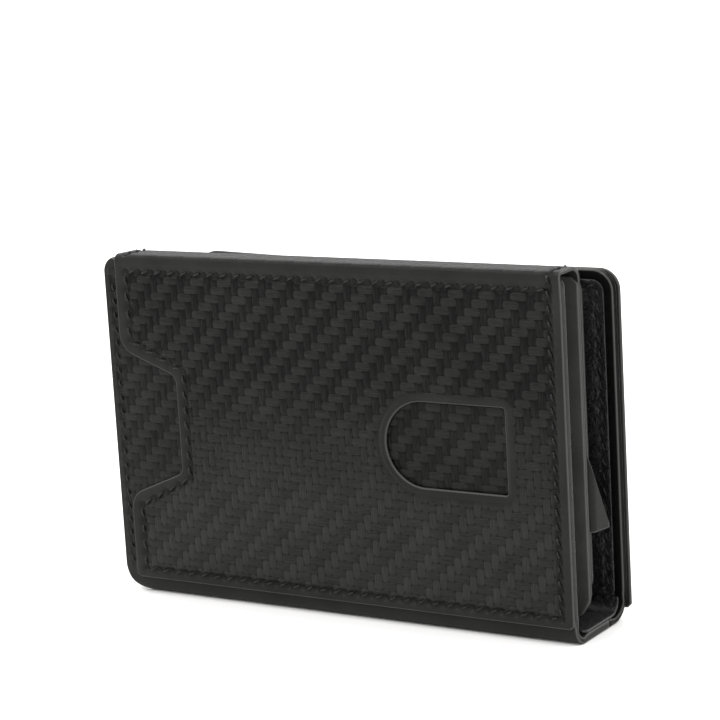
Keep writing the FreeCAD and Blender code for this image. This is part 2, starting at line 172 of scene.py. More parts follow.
class Path:
    """A line in the YZ plane made of straight runs and arcs, starting at a point."""

    def __init__(self, start, heading, outward):
        self.pieces = []
        self.length = 0.0
        self.point = np.array(start, float)
        self.heading = np.array(heading, float)
        self.outward = np.array(outward, float)

    def straight(self, length):
        self.pieces.append(("straight", self.length, length, self.point, self.heading,
                            self.outward, 0.0))
        self.point = self.point + self.heading * length
        self.length += length
        return self

    def bend(self, radius, angle=math.pi / 2):
        """Turns away from the outward side, so the outside face goes round the radius."""
        length = radius * angle
        self.pieces.append(("bend", self.length, length, self.point, self.heading,
                            self.outward, radius))
        self.point = (self.point - self.outward * radius * (1 - math.cos(angle))
                      + self.heading * radius * math.sin(angle))
        cosine, sine = math.cos(angle), math.sin(angle)
        heading = self.heading * cosine - self.outward * sine
        self.outward = self.outward * cosine + self.heading * sine
        self.heading = heading
        self.length += length
        return self

    def place(self, along):
        """The (y, z) point and the outward direction at each distance along the path."""
        spots = np.zeros((len(along), 2))
        normals = np.zeros((len(along), 2))
        for number, (kind, start, length, point, heading, outward, radius) in enumerate(
                self.pieces):
            low = -1e9 if number == 0 else start
            high = 1e9 if number == len(self.pieces) - 1 else start + length
            here = (along >= low) & (along < high)
            if not here.any():
                continue
            travel = (along[here] - start)[:, None]
            if kind == "straight":
                spots[here] = point + heading * travel
                normals[here] = outward
                continue
            angle = travel / radius
            spots[here] = (point - outward * radius * (1 - np.cos(angle))
                           + heading * radius * np.sin(angle))
            normals[here] = outward * np.cos(angle) + heading * np.sin(angle)
        return spots, normals


def on_path(path, across, along, depth):
    """Points below the outside face by a depth, in millimetres."""
    spots, normals = path.place(np.asarray(along, float))
    yz = spots - normals * np.asarray(depth, float)[:, None]
    return np.column_stack([across, yz])


# ---------------------------------------------------------------- leather sheets

def emboss(across, along):
    """Height, 0 to 1, of a two-by-two twill: each tow rides over two others and under two."""
    u, v = across / TOW_ACROSS, along / TOW_ALONG
    column, row = np.floor(u), np.floor(v)
    ride_lying = np.tanh(1.9 * np.sin(math.pi / 2 * np.mod(u - row, 4)))
    ride_standing = np.tanh(1.9 * np.sin(math.pi / 2 * np.mod(v - column + 3, 4)))
    round_lying = np.sqrt(1 - (2 * (v - row) - 1) ** 2)
    round_standing = np.sqrt(1 - (2 * (u - column) - 1) ** 2)
    return np.clip(np.maximum(0.5 * ride_lying + 0.5 * round_lying,
                              0.45 * ride_standing + 0.45 * round_standing), 0, 1)


def ramp(value, low, high):
    share = np.clip((value - low) / (high - low), 0, 1)
    return share * share * (3 - 2 * share)


def seam_holes(corners, closed=True, pitch=STITCH_PITCH):
    """The two needle holes, each (across, along), of every stitch along the corners."""
    ends = corners[1:] + (corners[:1] if closed else [])
    stitches = []
    for first, second in zip(corners, ends):
        first, second = np.array(first, float), np.array(second, float)
        length = np.linalg.norm(second - first)
        count = max(1, round(length / pitch))
        step = (second - first) / count
        stitches += [(first + step * n, first + step * (n + 1)) for n in range(count)]
    return stitches


def seam_relief(stitches, groove=0.15, hole=0.75):
    """A depth function: a shallow groove under each stitch and a pit at each hole."""
    starts = np.array([a for a, b in stitches])
    ends = np.array([b for a, b in stitches])

    def depth(across, along):
        points = np.column_stack([across, along])
        total = np.zeros(len(points))
        near_low = np.minimum(starts, ends).min(0) - 2
        near_high = np.maximum(starts, ends).max(0) + 2
        near = ((points > near_low) & (points < near_high)).all(1)
        chosen = np.nonzero(near)[0]
        if not len(chosen):
            return total
        spot = points[chosen]
        pit = np.zeros(len(spot))
        line = np.full(len(spot), 1e9)
        for a, b in zip(starts, ends):
            way = b - a
            t = np.clip(((spot - a) @ way) / (way @ way), 0, 1)
            gap = np.hypot(*(spot - a - t[:, None] * way).T)
            line = np.minimum(line, gap)
            for end in (a, b):
                away = ((spot - end) ** 2).sum(1)
                pit = np.maximum(pit, np.exp(-away / (2 * 0.46 ** 2)))
        total[chosen] = groove * np.exp(-line ** 2 / (2 * 0.55 ** 2)) + hole * pit
        return total

    return depth


def wave(across, along, size, amount, seed):
    """A slow, repeatable unevenness, as in leather that has been handled."""
    total = np.zeros(len(across))
    for n in range(1, 5):
        angle = seed * 2.4 + n * 1.9
        reach = 2 * math.pi / (size * (0.6 + 0.35 * n))
        phase = seed * 5.1 + n * 2.3
        total += np.sin((across * math.cos(angle) + along * math.sin(angle)) * reach + phase)
    return amount * total / 4


STEP_DROP = 0.12           # rounding where a turned rim steps down to the wall
EDGE_LOOPS = (0.72, 0.45, 0.22, 0.07, 0.0)     # shares of the band, towards the edge


class Sheet:
    """A leather or cloth piece cut flat from loops, with rounded edges, bent on a path."""

    def __init__(self, name, loops, across, along, path, thick, edge=0.3, band=0.62,
                 relief=None, relief_fade=(0.7, 1.6), rim=None, wall=0.0, edge_bulge=0.0,
                 weave=None):
        self.name, self.loops, self.path, self.thick = name, loops, path, thick
        self.edge, self.band, self.edge_bulge = edge, band, edge_bulge
        self.relief, self.relief_fade, self.weave = relief, relief_fade, weave
        self.rim, self.wall = rim, wall
        self.cut(across, along)

    def thickness(self, along):
        if callable(self.thick):
            return self.thick(along)
        return np.full(len(along), float(self.thick))

    def cut(self, across, along):
        """Grid cells inside the outline, clipped at one band's distance from the edge."""
        columns, rows = len(across), len(along)
        grid_across, grid_along = np.meshgrid(across, along)
        points = np.column_stack([grid_across.ravel(), grid_along.ravel()])
        distance, _ = boundary_of(points, self.loops)
        inside = (distance > self.band).reshape(rows, columns)
        number = np.full(rows * columns, -1)
        used = np.nonzero(inside.ravel())[0]
        number[used] = np.arange(len(used))
        faces = []
        count = inside[:-1, :-1].astype(int) + inside[:-1, 1:] + inside[1:, 1:] + inside[1:, :-1]
        index = np.arange(rows * columns).reshape(rows, columns)
        full = np.nonzero((count == 4).ravel())[0]
        square = np.stack([index[:-1, :-1], index[:-1, 1:], index[1:, 1:], index[1:, :-1]], -1)
        square = square.reshape(-1, 4)
        faces += number[square[full]].tolist()
        edge_number, crossings, rim_pairs = {}, [], []

        def crossing(a, b):
            key = (min(a, b), max(a, b))
            if key not in edge_number:
                share = (self.band - distance[a]) / (distance[b] - distance[a])
                edge_number[key] = len(used) + len(crossings)
                crossings.append(points[a] + (points[b] - points[a]) * share)
            return edge_number[key]

        flat = inside.ravel()
        for cell in np.nonzero(((count > 0) & (count < 4)).ravel())[0]:
            corner = square[cell]
            face, leaving, entering = [], None, None
            for n in range(4):
                a, b = corner[n], corner[(n + 1) % 4]
                if flat[a]:
                    face.append(int(number[a]))
                if flat[a] != flat[b]:
                    spot = crossing(a, b)
                    face.append(spot)
                    if flat[a]:
                        leaving = spot
                    else:
                        entering = spot
            if len(face) >= 3:
                faces.append(face)
                rim_pairs.append((leaving, entering))
        self.flat = np.concatenate([points[used], np.array(crossings).reshape(-1, 2)])
        self.faces = faces
        self.rim_pairs = rim_pairs
        ring = np.arange(len(used), len(self.flat))
        _, nearest = boundary_of(self.flat[ring], self.loops)
        inward = self.flat[ring] - nearest
        inward /= np.linalg.norm(inward, axis=1)[:, None]
        self.flat[ring] = nearest + inward * self.band
        self.ring, self.nearest, self.inward = ring, nearest, inward
        self.first_ring = len(used)

    def front_depth(self, flat, away):
        """Depth of the outside face below the path, with the relief faded at the edge."""
        depth = np.zeros(len(flat))
        if self.relief is not None:
            depth = self.relief(flat[:, 0], flat[:, 1], away)
        if self.weave is not None:
            tows = 1 - emboss(flat[:, 0], flat[:, 1])
            depth = depth + EMBOSS_DEEP * tows * self.weave(flat[:, 0], flat[:, 1], away)
        return depth * ramp(away, *self.relief_fade)

    def strip(self, outer, inner):
        """Quads between two loops of vertices round the edge."""
        first = self.first_ring
        return [[int(outer[a - first]), int(inner[a - first]), int(inner[b - first]),
                 int(outer[b - first])] for a, b in self.rim_pairs]

    def edge_depth(self, kind, away, share, thick):
        """Depth of one of the loops that run round the edge."""
        inside = max(0.0, self.edge - away)
        drop = self.edge - math.sqrt(max(0.0, self.edge ** 2 - inside ** 2))
        depths = {"front": drop, "back": thick - drop, "floor": self.wall,
                  "side": self.edge + (thick - 2 * self.edge) * share,
                  "step": thick - STEP_DROP}
        return depths[kind] + np.zeros(len(thick))

    def build(self):
        """The outside face, the loops round the edge and the inner side, as one mesh."""
        away, _ = boundary_of(self.flat, self.loops)
        total = len(self.flat)
        front = on_path(self.path, self.flat[:, 0], self.flat[:, 1],
                        self.front_depth(self.flat, away))
        blocks, flats, aways = [front], [self.flat], [away]
        steps = [(self.band * f, 0.0, "front") for f in EDGE_LOOPS]
        steps += [(0.0, f, "side") for f in (0.33, 0.67)]
        steps += [(self.band * f, 1.0, "back") for f in reversed(EDGE_LOOPS)]
        if self.rim is not None:
            steps += [(self.band, 1.0, "back"), (self.rim - STEP_DROP, 1.0, "back"),
                      (self.rim, 1.0, "step"), (self.rim, 0.0, "floor")]
        previous = self.ring
        faces = [list(face) for face in self.faces]
        offset = total
        for away_now, share, kind in steps:
            flat = self.nearest + self.inward * away_now
            depth = self.edge_depth(kind, away_now, share, self.thickness(flat[:, 1]))
            if kind == "side":
                flat = flat - self.inward * self.edge_bulge * math.sin(math.pi * share)
            blocks.append(on_path(self.path, flat[:, 0], flat[:, 1], depth))
            flats.append(flat)
            aways.append(np.full(len(flat), 1.0 if kind == "side" else away_now))
            current = np.arange(offset, offset + len(flat))
            faces += self.strip(previous, current)
            previous = current
            offset += len(flat)
        inner = self.flat.copy()
        if self.rim is not None:
            inner[self.ring] = self.nearest + self.inward * self.rim
            depth = np.full(total, float(self.wall))
        else:
            depth = self.thickness(inner[:, 1])
        blocks.append(on_path(self.path, inner[:, 0], inner[:, 1], depth))
        flats.append(inner)
        aways.append(away)
        current = np.arange(offset, offset + total)
        faces += self.strip(previous, current[self.first_ring:])
        faces += [[int(current[v]) for v in reversed(face)] for face in self.faces]
        flats, aways = np.concatenate(flats), np.concatenate(aways)
        woven = None
        if self.weave is not None:
            woven = self.weave(flats[:, 0], flats[:, 1], aways)
        return make_mesh(self.name, np.concatenate(blocks), faces, flats, aways, woven)


def make_mesh(name, points, faces, flat, away=None, woven=None):
    """An object from points in millimetres, with cloth coordinates and edge distance."""
    mesh = bpy.data.meshes.new(name)
    mesh.from_pydata((points * MM).tolist(), [], faces)
    layer = mesh.uv_layers.new(name="cloth")
    corner = np.zeros(len(mesh.loops), np.int32)
    mesh.loops.foreach_get("vertex_index", corner)
    layer.data.foreach_set("uv", (flat[corner] * UV_PER_MM).astype(np.float32).ravel())
    for label, values in (("edge_mm", away), ("woven", woven)):
        if values is not None:
            store = mesh.attributes.new(label, "FLOAT", "POINT")
            store.data.foreach_set("value", values.astype(np.float32))
    mesh.polygons.foreach_set("use_smooth", np.ones(len(mesh.polygons), bool))
    mesh.validate()
    mesh.update()
    made = bpy.data.objects.new(name, mesh)
    bpy.context.scene.collection.objects.link(made)
    return made


# ---------------------------------------------------------------- thread

def thread_run(name, stitches, path, radius=0.25):
    """Every stitch of a seam: a three-ply thread that dives into the hole at each end."""
    sides, steps = 10, 12
    blocks, flats, faces = [], [], []
    offset = 0
    for number, (first, second) in enumerate(stitches):
        way = second - first
        length = np.linalg.norm(way)
        heading = way / length
        across_way = np.array([-heading[1], heading[0]])
        share = np.linspace(0.0, 1.0, steps)
        arch = np.sin(np.pi * share) ** 0.6
        sway = THREAD_LEAN * (2 * share - 1) * (1 if number % 2 else 0.7)
        centre = (first + way * (0.2 + 0.6 * share)[:, None] + across_way * sway[:, None])
        depth = THREAD_DIVE - arch * (THREAD_DIVE + THREAD_PROUD)
        angle = np.linspace(0, 2 * math.pi, sides, endpoint=False)
        twist = share[:, None] * length * 2.6 + number
        swell = radius * (1 + 0.10 * np.cos(3 * (angle[None, :] - twist)))
        side_way = np.cos(angle)[None, :] * swell
        up_way = np.sin(angle)[None, :] * swell * 0.85
        flat = centre[:, None, :] + across_way[None, None, :] * side_way[:, :, None]
        deep = depth[:, None] - up_way
        flat = flat.reshape(-1, 2)
        blocks.append(on_path(path, flat[:, 0], flat[:, 1], deep.ravel()))
        flats.append(np.column_stack([np.repeat(share * length, sides) + number * 3.0,
                                      np.tile(angle, steps)]))
        for n in range(steps - 1):
            for m in range(sides):
                a, b = offset + n * sides + m, offset + n * sides + (m + 1) % sides
                faces.append([a, b, b + sides, a + sides])
        faces.append([offset + m for m in reversed(range(sides))])
        last = offset + (steps - 1) * sides
        faces.append([last + m for m in range(sides)])
        offset += steps * sides
    return make_mesh(name, np.concatenate(blocks), faces, np.concatenate(flats))


# ---------------------------------------------------------------- materials

class Value:
    """A node's output that adds, subtracts and multiplies like a number."""

    def __init__(self, graph, socket):
        self.graph, self.socket = graph, socket

    def __add__(self, other):
        return self.graph.math("ADD", self, other)

    def __sub__(self, other):
        return self.graph.math("SUBTRACT", self, other)

    def __rsub__(self, other):
        return self.graph.math("SUBTRACT", other, self)

    def __mul__(self, other):
        return self.graph.math("MULTIPLY", self, other)


class Graph:
    """A material's node tree, built round one principled shader."""

    def __init__(self, name):
        self.material = bpy.data.materials.new(name)
        self.material.use_nodes = True
        self.tree = self.material.node_tree
        self.tree.nodes.clear()
        out = self.tree.nodes.new("ShaderNodeOutputMaterial")
        self.skin = self.tree.nodes.new("ShaderNodeBsdfPrincipled")
        self.tree.links.new(self.skin.outputs["BSDF"], out.inputs["Surface"])

    def feed(self, socket, value):
        """Links a value, or sets a number or a colour."""
        if isinstance(value, Value):
            self.tree.links.new(value.socket, socket)
        else:
            socket.default_value = (*value, 1) if isinstance(value, tuple) else value

    def add(self, kind, output, feeds, **settings):
        """A new node with its inputs fed; gives one of its outputs."""
        node = self.tree.nodes.new(kind)
        for key, value in settings.items():
            setattr(node, key, value)
        for key, value in feeds.items():
            self.feed(node.inputs[key], value)
        return Value(self, node.outputs[output])

    def math(self, operation, *values):
        return self.add("ShaderNodeMath", 0, dict(enumerate(values)), operation=operation)

    def blend(self, share, low, high):
        return low * (1.0 - share) + high * share

    def step(self, value, low, high, start=0.0, end=1.0):
        return self.add("ShaderNodeMapRange", 0, {0: value, 1: low, 2: high, 3: start, 4: end},
                        interpolation_type="SMOOTHSTEP")

    def combine(self, x, y, z=0.0):
        return self.add("ShaderNodeCombineXYZ", 0, {0: x, 1: y, 2: z})

    def noise(self, vector, scale, detail=3.0, rough=0.55):
        return self.add("ShaderNodeTexNoise", "Fac", {
            "Vector": vector, "Scale": scale, "Detail": detail, "Roughness": rough})

    def cells(self, vector, scale):
        return self.add("ShaderNodeTexVoronoi", "Distance", {"Vector": vector, "Scale": scale})

    def colour_between(self, share, first, second):
        return self.add("ShaderNodeMix", 2, {0: share, 6: first, 7: second}, data_type="RGBA")

    def attribute(self, name):
        return self.add("ShaderNodeAttribute", "Fac", {}, attribute_name=name)

    def cloth(self):
        """Across and along, in millimetres, from the flat cut."""
        place = self.add("ShaderNodeUVMap", 0, {}, uv_map="cloth")
        return [self.math("DIVIDE", self.add("ShaderNodeSeparateXYZ", axis, {0: place}),
                          UV_PER_MM) for axis in (0, 1)]

    def object_mm(self):
        place = self.add("ShaderNodeTexCoord", "Object", {})
        return self.add("ShaderNodeVectorMath", 0, {0: place, "Scale": 1 / MM},
                        operation="SCALE")

    def bumped(self, height):
        """Raises the surface by a height in millimetres."""
        self.feed(self.skin.inputs["Normal"], self.add("ShaderNodeBump", "Normal", {
            "Strength": 1.0, "Distance": MM, "Height": height}))

    def finish(self, colour, roughness, specular=0.5, sheen=0.0, coat=0.0):
        for key, value in (("Base Color", colour), ("Roughness", roughness),
                           ("Specular IOR Level", specular), ("Sheen Weight", sheen),
                           ("Sheen Roughness", 0.45), ("Coat Weight", coat),
                           ("Coat Roughness", 0.28)):
            self.feed(self.skin.inputs[key], value)
        return self.material


def shaded(base, factor):
    return tuple(min(1.0, value * factor) for value in base)


def twill_nodes(graph, across, along):
    """The emboss as nodes: height, the share of lying tows, and the fibre lines."""
    u, v = graph.math("DIVIDE", across, TOW_ACROSS), graph.math("DIVIDE", along, TOW_ALONG)
    column, row = graph.math("FLOOR", u), graph.math("FLOOR", v)

    def ride(travel):
        return graph.math("TANH", graph.math("SINE", travel * (math.pi / 2)) * 1.9)

    def rounding(value, floor):
        centred = (value - floor) * 2.0 - 1.0
        return graph.math("SQRT", graph.math("MAXIMUM", 1.0 - centred * centred, 0.0))

    lying = (ride(u - row) + rounding(v, row)) * 0.5
    standing = (ride(v + 3.0 - column) + rounding(u, column)) * 0.45 - 0.05
    height = graph.math("MAXIMUM", graph.math("MAXIMUM", lying, standing), 0.0)
    on_top = graph.math("GREATER_THAN", lying, standing)
    lines_lying = graph.noise(graph.combine(across * 0.3, along * 5.0), 1.0, 2.0)
    lines_standing = graph.noise(graph.combine(across * 5.0, along * 0.3, 7.0), 1.0, 2.0)
    return height, on_top, graph.blend(on_top, lines_standing, lines_lying)


def leather(name, base, rough, gloss, grain=0.03, weave=False, edge_light=0.75):
    """Leather: fine grain, handled patches, glossier cut edges lightened as a painted highlight,
    and the twill if asked.
    """
    graph = Graph(name)
    place = graph.object_mm()
    patch = graph.noise(place, 0.09) - 0.5
    fine = graph.noise(place, 7.0, 4.0, 0.7)
    # The band along the cut edges: it lowers the roughness there and carries the painted edge
    # highlight.
    edge_gloss_and_highlight = graph.step(graph.attribute("edge_mm"), 0.03, 0.34, 1.0, 0.0)
    height = fine * grain + graph.cells(place, 3.4) * (grain * 0.6)
    shade = patch * 0.35 + 0.33
    roughness = patch * 0.16 + rough
    if weave:
        across, along = graph.cloth()
        tow, lying, lines = twill_nodes(graph, across, along)
        woven = graph.attribute("woven")
        height = height + tow * woven * 0.2 + lines * woven * 0.09
        # Painted sheen and shade: the tows that lie across and those that stand trade lighter and
        # darker with the height, the face is painted darker towards the top, the grooves between
        # tows are painted darker, and the fibre lines are painted lighter and darker.
        raised = graph.step(along, 12.0, 48.0)
        tone = graph.blend(lying, raised * -0.28 + 0.16, raised * 0.08 + 0.02)
        groove = graph.step(tow, 0.12, 0.62, 0.4, 0.0)
        tone = tone + raised * -0.17 + (lines - 0.5) * 0.7 - groove
        shade = shade + tone * woven
        roughness = roughness + groove * woven * 0.4
    graph.bumped(height)
    shade = graph.math("MINIMUM", graph.math("MAXIMUM", shade, 0.0), 1.0)
    skin = graph.colour_between(shade, shaded(base, 0.1), shaded(base, 4.0))
    # Painted highlight: the colour is lightened towards a light grey along the cut edges, standing
    # in for light on the rounded edges.
    painted_edge_highlight = graph.math("MAXIMUM", edge_gloss_and_highlight * (fine * 0.8 + (edge_light - 0.4)), 0.0)
    return graph.finish(graph.colour_between(painted_edge_highlight, skin, EDGE_HIGHLIGHT), roughness - edge_gloss_and_highlight * 0.12,
                        gloss)


def lining_cloth(name, base, rough=0.8, gloss=0.2, coat=0.0, crinkle=0.0):
    """A lining: a fine plain weave, or a coated face with soft creases."""
    graph = Graph(name)
    place = graph.object_mm()
    across, along = graph.cloth()
    threads = graph.math("SINE", across * 17.0) * graph.math("SINE", along * 17.0)
    creases = graph.noise(place, 0.75, 5.0, 0.62)
    fine = graph.noise(place, 9.0, 2.0)
    graph.bumped(threads * (0.002 if crinkle else 0.012) + creases * crinkle + fine * 0.02)
    shade = (graph.noise(place, 0.22, 4.0) - 0.5) * 1.2 + 0.5
    colour = graph.colour_between(shade, shaded(base, 0.6), shaded(base, 1.5))
    return graph.finish(colour, (fine - 0.5) * 0.3 + rough, gloss, 0.05, coat)


def thread_material(name, base):
    """Bonded polyester thread with a slight shine along its plies."""
    graph = Graph(name)
    along, around = graph.cloth()
    ply = graph.math("SINE", along * -9.0 + around * 3.0)
    fuzz = graph.noise(graph.object_mm(), 14.0, 2.0)
    graph.bumped(ply * 0.03 + fuzz * 0.03)
    colour = graph.colour_between(ply * 0.2 + fuzz, shaded(base, 0.5), shaded(base, 2.0))
    return graph.finish(colour, fuzz * 0.2 + 0.18, 0.3)


def board_material(name, base, rough, metallic=0.0):
    """Hidden stiffening board or shielding foil."""
    graph = Graph(name)
    speck = graph.noise(graph.object_mm(), 2.4, 5.0, 0.7)
    graph.bumped(speck * 0.04)
    graph.skin.inputs["Metallic"].default_value = metallic
    colour = graph.colour_between(speck, shaded(base, 0.8), shaded(base, 1.2))
    return graph.finish(colour, speck * 0.2 + rough, 0.3)


def floor_material():
    graph = Graph("studio_floor")
    cloud = graph.noise(graph.object_mm(), 0.01, 2.0)
    colour = graph.colour_between(cloud, (0.86, 0.855, 0.85), (0.9, 0.895, 0.89))
    return graph.finish(colour, cloud * 0.1 + 0.75, 0.2)


# The light grey of the painted highlight along the cut edges.
EDGE_HIGHLIGHT = (0.085, 0.085, 0.081)
BLACK = (0.0105, 0.0105, 0.0100)
WEAVE = leather("twill_embossed_leather", BLACK, weave=True, rough=0.38, gloss=0.09)
SMOOTH = leather("smooth_black_leather", (0.0085, 0.0085, 0.0081), rough=0.4, gloss=0.10,
                 grain=0.05)
# Painted light: the backing is a lighter grey than the black leather, standing in for light that
# its face catches inside the pouch.
BACKING = leather("grey_backing_painted_light", (0.035, 0.035, 0.034), rough=0.6, gloss=0.2, grain=0.06,
                  edge_light=0.35)
LINING = lining_cloth("black_lining_cloth", (0.005, 0.005, 0.005))
GLOSS_LINING = lining_cloth("coated_black_lining", (0.003, 0.003, 0.0033), rough=0.27, gloss=0.5,
                            coat=0.15, crinkle=0.5)
RIM = leather("dark_rim_leather", (0.002, 0.002, 0.002), rough=0.3, gloss=0.05, grain=0.1,
              edge_light=0.7)
THREAD = thread_material("bonded_black_thread", (0.003, 0.003, 0.003))
BOARD = board_material("grey_stiffening_board", (0.12, 0.11, 0.1), 0.75)
FOIL = board_material("shielding_foil", (0.72, 0.72, 0.72), 0.25, metallic=1.0)


# ---------------------------------------------------------------- the pieces

def grid_faces(rows, columns, first=0, flipped=False):
    """Quads over a grid of points stored row after row."""
    faces = []
    for n in range(rows):
        for m in range(columns):
            a = first + n * (columns + 1) + m
            face = [a, a + 1, a + columns + 2, a + columns + 1]
            faces.append(face[::-1] if flipped else face)
    return faces


def dressed(piece, material, body=None, replaced=()):
    piece.data.materials.append(material)
    if body:
        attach(piece, body)
    if replaced:
        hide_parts(*replaced)


def sew(name, stitches, path, body, replaced=(), radius=0.25):
    dressed(thread_run(name, stitches, path, radius), THREAD, body, replaced)


def box_loop(left, right, top, radius=1.0):
    """A plain rectangle from along = 0, with rounded corners."""
    return rounded([(left, 0, radius), (right, 0, radius), (right, top, radius),
                    (left, top, radius)])


def wrap_path():
    """Up the front panel, over the pouch's top and down its inner leaf."""
    front_turn, rear_turn = 1.4, 3.1
    rise = arch_high[2] - panel_low[2]
    depth = leaf_high[1] - panel_low[1]
    path = Path((panel_low[1], panel_low[2]), (0, 1), (-1, 0))
    path.straight(rise - front_turn).bend(front_turn)
    path.straight(depth - front_turn - rear_turn).bend(rear_turn)
    path.straight(arch_high[2] - rear_turn - leaf_low[2])
    return path


def front_wrap():
    """The outer front panel, pouch top and inner leaf, cut from one embossed piece."""
    path = wrap_path()
    left, right = panel_low[0], panel_high[0]
    leaf_right = leaf_high[0]
    tall = panel_high[2] - panel_low[2]
    over = path.length - (leaf_high[2] - leaf_low[2])
    # The thumb notch in the left edge: its floor, then its lower and upper flank, each from
    # the edge to the floor. The window beside it is half round on its left.
    mouth, mouth_low, mouth_high = left + 13.4, (17.4, 23.0), (48.0, 43.0)
    outer = rounded([
        (left, 0, 1.0), (right, 0, 1.0), (right, tall - 4, 8), (right - 0.3, tall + 4, 8),
        (leaf_right, over, 8), (leaf_right, path.length - 3.2, 2.0),
        (leaf_right - 2.2, path.length, 1.2), (left + 2.6, path.length, 1.2),
        (left + 1.4, path.length - 3.2, 2.0), (left + 1.4, over, 5), (left, tall + 1.5, 5),
        (left, mouth_high[0], 4.5), (mouth, mouth_high[1], 2.4), (mouth, mouth_low[1], 2.0),
        (left, mouth_low[0], 4.5)])
    radius, window_left, window_right, middle = 8.4, left + 62.3, left + 88.5, 33.1
    window = rounded([
        (window_left, middle - radius, radius - 0.01), (window_right, middle - radius, 0.5),
        (window_right, middle + radius, 0.7), (window_left, middle + radius, radius - 0.01)])
    edge = left + SIDE_INSET
    inner = mouth + STITCH_INSET
    row = right - SIDE_INSET
    top = tall - STITCH_INSET
    around = [
        (row, top), (edge, top), (edge, mouth_high[0] + STITCH_INSET),
        (inner, mouth_high[1] + 1.0), (inner, mouth_low[1] - 1.0),
        (edge, mouth_low[0] - STITCH_INSET), (edge, STITCH_INSET), (row, STITCH_INSET)]
    seam = seam_holes(around, closed=False)
    side = seam_holes([(row, STITCH_INSET), (row, over - 2.4)], closed=False, pitch=2.7)
    seam_loop = np.array(around, float)
    leaf_row = seam_holes([(leaf_right - 2.0, over + 3), (leaf_right - 2.0, path.length - 5)],
                          closed=False)
    arch_end = seam_holes([(left + 2.2, tall + 2.2), (left + 2.9, over - 0.6)], closed=False,
                          pitch=2.2)
    stitches = seam + side + arch_end
    sewn = seam_relief(stitches)
    sewn_leaf = seam_relief(leaf_row)

    def window_gap(across, along):
        return np.abs(boundary_of(np.column_stack([across, along]), [window])[0])

    def relief(across, along, away):
        gap = window_gap(across, along)
        bead = np.exp(-((gap - 0.75) / 0.45) ** 2) * 0.32
        crease = np.exp(-((gap - 1.65) / 0.35) ** 2) * 0.14
        lip = np.exp(-((along - tall + 0.8) / 0.22) ** 2) * 0.13
        lip = lip + np.exp(-((along - tall - 0.2) / 0.25) ** 2) * 0.13
        soft = wave(across, along, 34, 0.10, 1.3) * (along < tall)
        return sewn(across, along) + sewn_leaf(across, along) - bead + crease + soft + lip

    def weave(across, along, away):
        points = np.column_stack([across, along])
        sewn_in, _ = boundary_of(points, [seam_loop])
        face = ramp(sewn_in, 0.1, 1.0) * ramp(window_gap(across, along), 1.3, 2.1)
        above = ramp(along, tall + 0.8, tall + 1.6)
        return np.maximum(face, 0.6 * above) * ramp(away, 0.5, 1.2)

    fine = TOW_ALONG / TOW_STEPS
    rows_front = grid_lines(0, tall, fine)
    rows_arch = grid_lines(tall, over, 0.45)
    rows_leaf = grid_lines(over, path.length, 1.6)
    seams = beside(STITCH_INSET, 0.23) + beside(top, 0.23)
    columns = merged_lines(grid_lines(left - 1.2, right, TOW_ACROSS / TOW_STEPS),
                           beside(row, 0.22), gap=0.1)
    lines = merged_lines(rows_front, rows_arch, rows_leaf, seams, gap=0.1)
    wrap = Sheet("front_wrap_leather", [outer, window], columns, lines, path,
                 panel_high[1] - panel_low[1], edge=0.34, band=0.5, relief=relief,
                 relief_fade=(0.45, 0.9), edge_bulge=0.06, weave=weave).build()
    dressed(wrap, WEAVE, "front_cover",
            ("front_pocket_panel", "pouch_top_fold", "inner_leaf_leather"))
    sew("front_panel_thread", stitches, path, "front_cover", ("front_panel_stitching",))
    sew("inner_leaf_thread", leaf_row, path, "front_cover")


